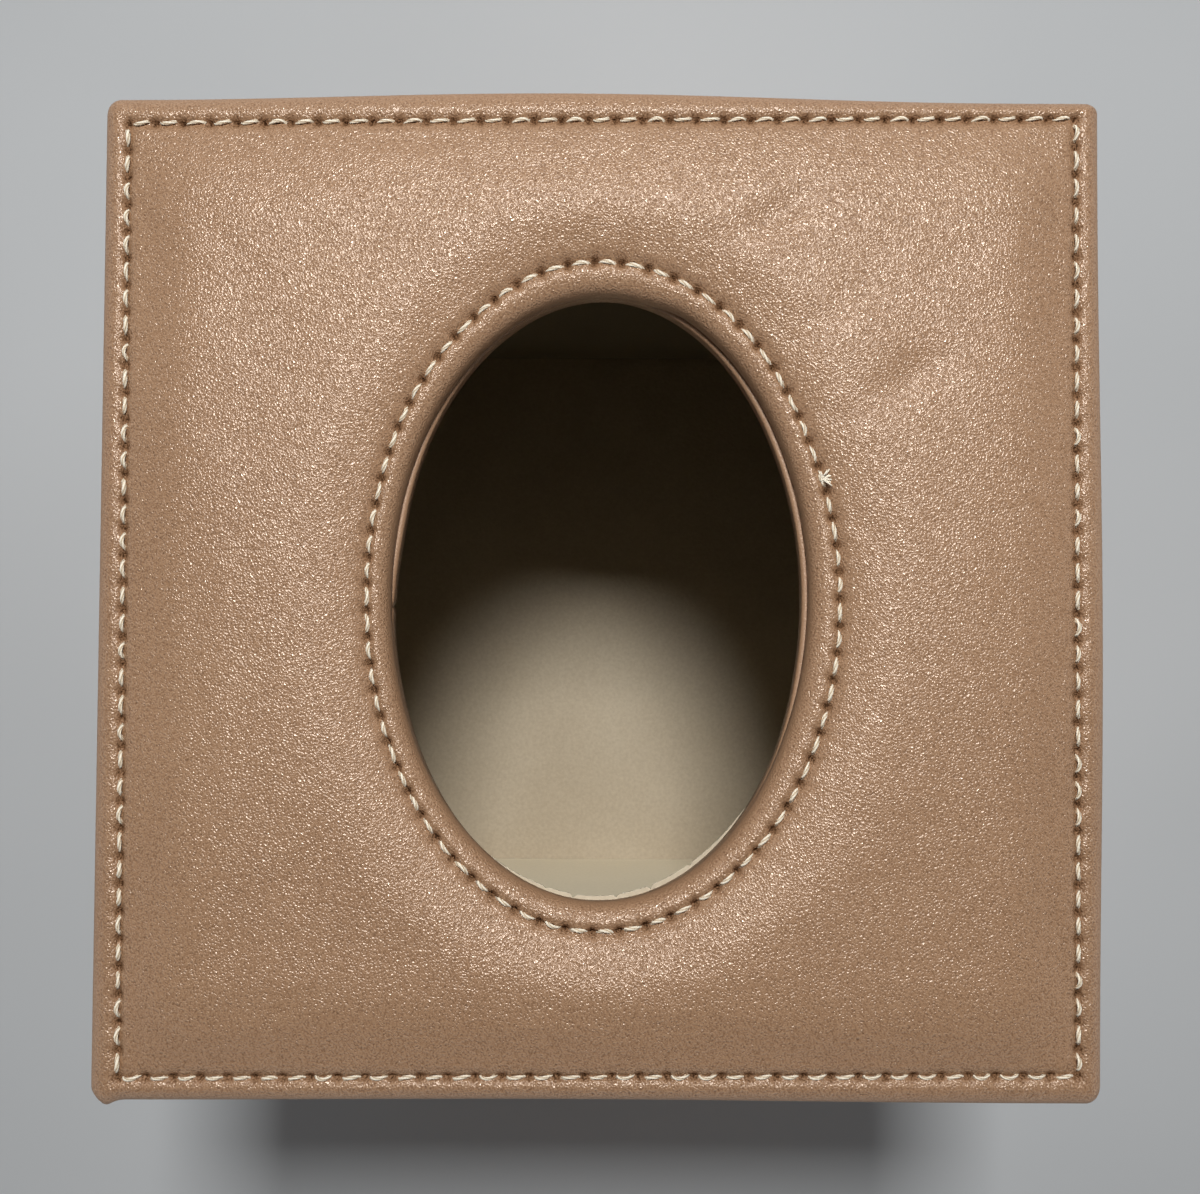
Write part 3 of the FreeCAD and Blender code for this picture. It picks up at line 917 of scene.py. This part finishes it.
cream_thread = thread_finish("cream_thread")
stitches_tree = stitch_tree()
outer_holes = lift(edge_plan, seam_level)
oval_holes = lift(oval_hole_plan, seam_level)
settle(outer_holes)
settle(oval_holes)
leaning = np.repeat((0, 1, 0, 1), stitches_per_side)
edge_thin = 1 - leaning * (1 - lean_thin)
edge_row = sew_row("edge_stitching", outer_holes, (0, 0, 1), leaning * lean, edge_thin, edge_seed)
take_place(edge_row, "shell", "thread", "top_edge_stitches")
oval_row = sew_row("oval_stitching", oval_holes, (0, 0, 1), oval_slant, 1, oval_seed)
take_place(oval_row, "shell", "thread", "oval_stitches")

# Knot of the oval row
# The row round the mouth ends at the right, where the thread is tied off. Its cut ends stand up from
# the last stitch as a small tuft.
knot_hole = 4
knot_lift = (0, 0, 0.3 * mm)
tuft_count = 16
tuft_length = 1.9 * mm
tuft_reach = (0.6, 1.1)
tuft_width = 0.3 * mm
tuft_taper = (1.25, -0.7)
tuft_sides = 4
tuft_steps = 5
tuft_lean = np.array((0.5, -0.1, 0.55))
tuft_spread = np.array((0.75, 0.75, 0.375))
tuft_droop = np.array((0, 0, -0.35))
tuft_seed = 5


def fibre_tube(path, widths):
    """Points and faces of a thin tapered tube along a path."""
    rings = []
    for k, (place, width) in enumerate(zip(path, widths)):
        ahead = path[min(k + 1, len(path) - 1)] - path[max(k - 1, 0)]
        axis = Vector(ahead).normalized()
        first = axis.orthogonal().normalized()
        second = axis.cross(first)
        turns = [tau * i / tuft_sides for i in range(tuft_sides)]
        spokes = np.array([first * cos(turn) + second * sin(turn) for turn in turns])
        rings.append(place + width / 2 * spokes)
    return skin(rings, capped=True)


def tuft(root):
    """Points and faces of loose thread ends that fan out from a root."""
    draw = np.random.default_rng(tuft_seed)
    shares = np.linspace(0, 1, tuft_steps)
    points, faces = np.empty((0, 3)), []
    for strand in range(tuft_count):
        out = tuft_lean + draw.uniform(-1, 1, 3) * tuft_spread
        reach = tuft_length * draw.uniform(*tuft_reach)
        path = [root + reach * (out * share + tuft_droop * share**2) for share in shares]
        widths = tuft_width * (tuft_taper[0] + tuft_taper[1] * shares)
        points, faces = join(points, faces, *fibre_tube(path, widths))
    return points, faces


knot_root = (oval_holes[knot_hole] + oval_holes[knot_hole + 1]) / 2 + knot_lift
knot = add_piece("knot_tuft", *tuft(knot_root), cream_thread)
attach(knot, "shell")

# Side panels
# Four stiffened leather panels are glued to the box. Each is turned in round its card, and at the
# bottom it is turned up again inside the recess of the flap. A row of stitches follows its edge.
panel_roll = 0.7 * mm
panel_thick = 2.2 * mm
panel_columns = 180
panel_pillow = 0.3 * mm
panel_run = 9.0 * mm
panel_groove = 0.3 * mm
panel_hole = 0.5 * mm
panel_reach = 4 * mm
panel_pucker = 0.6
panel_insets = np.array((1.1, 1.7, 2.2, 2.6, 2.9, 3.15, 3.4, 3.65, 3.9, 4.2, 4.6, 5.1, 5.8, 7.0, 8.5, 10.5,
                         13.0, 18.0, 26.0)) * mm
wave_rise = 0.08 * mm
wave_counts = (71, 57)
tray_turns = np.radians((0, 22.5, 45, 67.5, 90))
tray_lip = 0.15 * mm
tray_edge = 0.25 * mm
tray_turn_in = 8 * mm
tray_corner = 1.2 * mm
tray_least = 0.3 * mm
face_shares = (0.7, 0.35, 0.04)
hollow_shares = (0.04, 0.5)
flange_leg = 1.4 * mm
flange_round = 0.25 * mm
flange_foot = 0.03 * mm
stitch_pitch = 3.5 * mm
row_lift = 0.6 * panel_groove
row_slant = 0.06
row_slim = 0.92
row_seed = 31


def tray_rings(half_across, half_along, thick, hide_thick, insets):
    """Rings of a leather tray, face up at level 0, from its back edge over its face and back inside."""
    section = [(hide_thick, -thick), (tray_lip, -thick), (0, tray_edge - thick)]
    for turn in tray_turns:
        section.append((panel_roll * (1 - cos(turn)), panel_roll * (sin(turn) - 1)))
    section += [(inset, 0) for inset in insets]
    face_count = len(section)
    section += [(hide_thick + tray_turn_in, -hide_thick), (hide_thick, -hide_thick)]
    rings = []
    for inset, level in section:
        corner = max(tray_corner - inset, tray_least)
        rings.append(lift(frame_ring(half_across - inset, half_along - inset, corner, panel_columns), level))
    return rings[:face_count], rings[face_count:]


def closed_tray(face_rings, back_rings):
    """Points and faces of a tray whose face and back are closed in the middle."""
    middle = [face_rings[-1] * (share, share, 1) for share in face_shares]
    hollow = [back_rings[0] * (share, share, 1) for share in hollow_shares]
    face_points, face_faces = skin(face_rings + middle)
    points, faces = join(face_points, face_faces, *skin(hollow + back_rings))
    count = len(face_rings[0])
    here = np.arange(count)
    there = (here + 1) % count
    last = len(points) - count
    faces += np.stack([last + here, last + there, there, here], axis=1).tolist()
    faces.append((len(face_points) - count + here).tolist())
    faces.append((len(face_points) + here[::-1]).tolist())
    return points, faces


def panel_holes(half_across, half_along):
    """Needle holes round a side panel."""
    x = half_across - seam_inset
    y = half_along - seam_inset
    return frame_holes(x, y, max(1, round(2 * x / stitch_pitch)), max(1, round(2 * y / stitch_pitch)))


def sew_panel(points, half_across, half_along, holes, wave):
    """Draws the stitched valley into a side panel's face and swells it a little inside."""
    x, y = points[:, 0], points[:, 1]
    away = np.minimum(half_across - np.abs(x), half_along - np.abs(y)) - seam_inset
    inward = np.clip(away / panel_run, 0, 1)
    pillow = panel_pillow * (1 - (1 - inward) ** 2)
    pillow += wave_rise * inward * np.sin(x * wave_counts[0] + wave) * np.sin(y * wave_counts[1] + 2 * wave)
    close = np.abs(away) < panel_reach
    to_hole = nearest(points[close, :2], holes)
    # pierced marks the needle holes, which the leather's finish paints dark: raw fibre and painted shade.
    pierced = np.zeros(len(points))
    face = np.clip((points[:, 2] + panel_roll) / panel_roll, 0, 1)
    pierced[close] = face[close] * hill(to_hole, hole_width)
    pull = -panel_hole * pierced
    pull[close] += panel_pucker * pucker(to_hole, np.abs(away[close]))
    points[:, 2] += face * (pillow + pull - panel_groove * hill(away, groove_width))
    return pierced


def bar(section, places):
    """Points and faces of a bar with a section of Y and Z points, seen from +X, at places along X."""
    return skin([np.array([(x, y, z) for y, z in section]) for x in places], capped=True)


def turn_quarters(points, quarters):
    """Points turned about the cover's middle by quarter turns."""
    c, s = quarter_turns[quarters]
    x, y, z = points.T
    return np.stack([x * c - y * s, x * s + y * c, z], axis=1)


for quarters, side in enumerate(side_names):
    panel_low, panel_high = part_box("leather_" + side)
    lengthwise = quarters % 2 == 0
    out_axis = 1 if lengthwise else 0
    face_reach = max(abs(panel_low[out_axis]), abs(panel_high[out_axis]))
    half_across = panel_high[1 - out_axis]
    half_along = (panel_high.z - panel_low.z) / 2
    middle_level = (panel_high.z + panel_low.z) / 2
    local, faces = closed_tray(*tray_rings(half_across, half_along, panel_thick, hide, panel_insets))
    holes = panel_holes(half_across, half_along)
    pierced = sew_panel(local, half_across, half_along, holes, quarters)
    standing = np.stack([local[:, 0], -(face_reach + local[:, 2]), local[:, 1] + middle_level], axis=1)
    flange_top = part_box("box_" + side)[0].z
    inside = panel_thick - face_reach
    flange = [(inside - flange_leg, flange_foot), (inside + hide - flange_round, flange_foot),
              (inside + hide, flange_foot + flange_round), (inside + hide, flange_top - flange_round),
              (inside + hide - flange_round, flange_top), (inside, flange_top), (inside, hide),
              (inside - flange_leg, hide)]
    flange_half = half_across - panel_thick - hide if lengthwise else half_across
    points, faces = join(standing, faces, *bar(flange, (-flange_half, flange_half)))
    panel = add_piece("panel_" + side, turn_quarters(points, quarters), faces, tan_leather)
    mark(panel, "pierced", np.concatenate([pierced, np.zeros(len(points) - len(pierced))]))
    take_place(panel, "shell", "tan_leather", "leather_" + side)
    stitch_points = np.stack([holes[:, 0], np.full(len(holes), row_lift - face_reach),
                              holes[:, 1] + middle_level], axis=1)
    up = turn_quarters(np.array([(0.0, -1.0, 0.0)]), quarters)[0].tolist()
    row = sew_row("panel_stitching_" + side, turn_quarters(stitch_points, quarters), up,
                  row_slant, row_slim, row_seed + quarters)
    take_place(row, "shell", "thread", "stitches_" + side)

# Keeper and magnets
# A strip of plated steel is let into the front card, and two bar magnets sit in the front edge of
# the flap's board, where they hold the flap shut.
steel_tones = ((0.44, 0.43, 0.41, 1), (0.6, 0.59, 0.57, 1))
steel_rough = 0.35
plating_tones = ((0.5, 0.49, 0.47, 1), (0.68, 0.67, 0.64, 1))
plating_rough = 0.25
brush_stretch = (0.08, 1, 1)
brush_scale = 2500.0
brush_rough = 0.2
brush_relief = 0.02 * mm


def metal_finish(name, dark, pale, roughness):
    """Brushed plated metal."""
    material, tree, shader = new_finish(name, Metallic=1.0)
    brushed = speckle(tree, spot(tree, brush_stretch), brush_scale, detail=4.0)
    paint(tree, shader, brushed, (0.3, dark), (0.7, pale))
    tree.links.new(weigh(tree, roughness, (brushed, brush_rough)), shader.inputs["Roughness"])
    emboss(tree, shader, brushed, brush_relief)
    return material


dress("keeper_strip", metal_finish("keeper_steel", *steel_tones, steel_rough))
dress("flap_magnets", metal_finish("magnet_plating", *plating_tones, plating_rough))

# Base flap
# A board with magnets in its front edge is covered below and round its edges with thinner leather
# and lined above. It closes the recess in the bottom of the cover and is the floor of the box.
flap_hide = 0.7 * mm
flap_insets = np.array((1.2, 2.5, 6.0, 14.0, 26.0)) * mm
dress("flap_board", box_board)
flap_low, flap_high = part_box("flap_leather")
flap_half = ((flap_high.x - flap_low.x) / 2, (flap_high.y - flap_low.y) / 2)
flap_middle = (flap_high.y + flap_low.y) / 2
flap_tray = tray_rings(*flap_half, flap_high.z - flap_low.z, flap_hide, flap_insets)
flap_points, flap_faces = closed_tray(*flap_tray)
flap_points = flap_points * (1, -1, -1) + (0, flap_middle, flap_low.z)
flap_cover = add_piece("flap_cover", flap_points, flap_faces, tan_leather)
take_place(flap_cover, "base_flap", "tan_leather", "flap_leather")
plate_over("flap_lining", "floor_lining", "base_flap", "lining", lining_nap)

# Pull tab
# A tongue of thin leather, rounded at its ends, is glued to the underside of the flap near its front
# edge and lifts it out of the magnets' hold.
tab_corner = 5.0 * mm
tab_columns = 24
plate_over("pull_tab", "tab_tongue", "base_flap", "tan_leather", tan_leather, tab_corner, tab_columns)

# Hinge strip
# A strip of thin leather is glued up the back of the recess and forward under the flap. It bends
# along the flap's back edge and is the hinge.
hinge_low, hinge_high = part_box("hinge_strip")
hinge_hide = 0.5 * mm
hinge_smooth = 0.2
hinge_columns = 60
bend_radius = 0.3 * mm
bend_shift = bend_radius / 3
upright_rows = 6
bend_rows = 7
near_span = (1.2 * mm, 4 * mm)
near_rows = 12
far_start = 6 * mm
far_rows = 6


def hinge_line(depth):
    """Y and Z along the strip, a depth inside its outer face, from the top of its upright forward."""
    back, under = hinge_high.y, hinge_low.z
    line = []
    for z in np.linspace(hinge_high.z, under + bend_radius + hinge_hide, upright_rows):
        line.append((back - depth, z))
    centre = (back - hinge_hide - bend_shift, under + hinge_hide + bend_shift)
    reach = hinge_hide + bend_shift - depth
    for turn in np.linspace(0, pi / 2, bend_rows):
        line.append((centre[0] + reach * cos(turn), centre[1] - reach * sin(turn)))
    near = np.linspace(back - near_span[0], back - near_span[1], near_rows)
    far = np.linspace(back - far_start, hinge_low.y, far_rows)
    return line + [(y, under + depth) for y in (*near, *far)]


hinge_section = hinge_line(hinge_hide) + hinge_line(0)[::-1]
hinge_places = np.linspace(hinge_low.x, hinge_high.x, hinge_columns + 1)
hinge = add_piece("hinge_leather", *bar(hinge_section, hinge_places), tan_leather)
mark(hinge, "smoothed", hinge_smooth)
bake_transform(hinge)
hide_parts("hinge_strip")

# Camera
# It stands straight above the cover, a little in front of its middle, and leans slightly to the back.
camera_place = (0, -2.9 * mm, 302 * mm)
camera_lean = radians(1.07)
camera_roll = radians(0.25)
focal_pixels = 1254
image_width = 1200
sensor_width = 36.0
near_clip = 0.01
lens = bpy.data.cameras.new("camera")
lens.sensor_width = sensor_width
lens.lens = sensor_width * focal_pixels / image_width
lens.clip_start = near_clip
camera = stand("camera", lens)
camera.location = camera_place
leaned = Euler((camera_lean, 0, 0)).to_matrix()
camera.rotation_euler = (leaned @ Euler((0, 0, camera_roll)).to_matrix()).to_euler()
bpy.context.scene.camera = camera

# Light and floor
# A small softbox above the back edge is the main light. A pale band of light round the horizon fills
# the sides, and the zenith stays dim so that the inside of the box keeps its shadow. Rays that are
# seen meet a plain grey backdrop instead, into which the floor fades.
key_place = Vector((14 * mm, 190 * mm, 583 * mm))
key_aim = Vector((0, 0, 120 * mm))
key_size = 0.1
key_power = 2.4
sky_stops = ((0.0, (1.0, 1.0, 1.0, 1)), (0.1, (0.95, 0.95, 0.96, 1)), (0.2, (0.17, 0.17, 0.175, 1)),
             (0.4, (0.04, 0.04, 0.0415, 1)), (1.0, (0.011, 0.011, 0.0114, 1)))
sky_strength = 2.0
far_colour = (0.6, 0.607, 0.62, 1)
backdrop_stops = ((0.0, far_colour), (0.27, (0.55, 0.56, 0.58, 1)), (0.45, (0.09, 0.09, 0.094, 1)),
                  (1.0, (0.025, 0.025, 0.026, 1)))
floor_half = 4.0
floor_dark = (0.6, 0.62, 0.63, 1)
floor_pale = (0.66, 0.68, 0.69, 1)
floor_scale = 6.0
near_reach = 0.15
far_reach = 0.9


def seen_ray(tree):
    """1 for rays that show a surface to the camera, straight, in a reflection or through glass."""
    ray = put(tree, "ShaderNodeLightPath").outputs
    indirect = maths(tree, "MAXIMUM", ray["Is Glossy Ray"], ray["Is Transmission Ray"])
    return maths(tree, "MAXIMUM", ray["Is Camera Ray"], indirect)


box_light = bpy.data.lights.new("softbox", "AREA")
box_light.size = key_size
box_light.energy = key_power
softbox = stand("softbox", box_light)
softbox.location = key_place
softbox.rotation_euler = (key_aim - key_place).to_track_quat("-Z", "Y").to_euler()

world = bpy.data.worlds.new("studio")
world.use_nodes = True
bpy.context.scene.world = world
sky = world.node_tree
direction = put(sky, "ShaderNodeTexCoord").outputs["Generated"]
elevation = put(sky, "ShaderNodeSeparateXYZ", {0: direction}).outputs["Z"]
lighting = sky.nodes["Background"]
lighting.inputs["Strength"].default_value = sky_strength
sky.links.new(tones(sky, elevation, *sky_stops), lighting.inputs["Color"])
backdrop = put(sky, "ShaderNodeBackground", {"Color": tones(sky, elevation, *backdrop_stops)})
both = put(sky, "ShaderNodeMixShader", {0: seen_ray(sky), 1: lighting.outputs[0], 2: backdrop.outputs[0]})
sky.links.new(both.outputs[0], sky.nodes["World Output"].inputs["Surface"])

floor_finish, floor_tree, floor_shader = new_finish("pale_floor", Roughness=0.8, Specular_IOR_Level=0.2)
floor_cloud = speckle(floor_tree, spot(floor_tree), floor_scale)
paint(floor_tree, floor_shader, floor_cloud, (0.3, floor_dark), (0.7, floor_pale))
away = put(floor_tree, "ShaderNodeVectorMath", {0: spot(floor_tree)}, operation="LENGTH").outputs["Value"]
fade = put(floor_tree, "ShaderNodeMapRange", {"Value": away, "From Min": near_reach, "From Max": far_reach},
           interpolation_type="SMOOTHSTEP").outputs[0]
far = put(floor_tree, "ShaderNodeEmission", {"Color": far_colour})
far_share = maths(floor_tree, "MULTIPLY", seen_ray(floor_tree), fade)
blend = put(floor_tree, "ShaderNodeMixShader", {0: far_share, 1: floor_shader.outputs[0], 2: far.outputs[0]})
floor_tree.links.new(blend.outputs[0], floor_tree.nodes["Material Output"].inputs["Surface"])
corners = [(floor_half * x, floor_half * y, 0) for x, y in ((-1, -1), (1, -1), (1, 1), (-1, 1))]
floor = add_piece("floor", corners, [(0, 1, 2, 3)], floor_finish)

bpy.context.scene.view_settings.view_transform = "Standard"
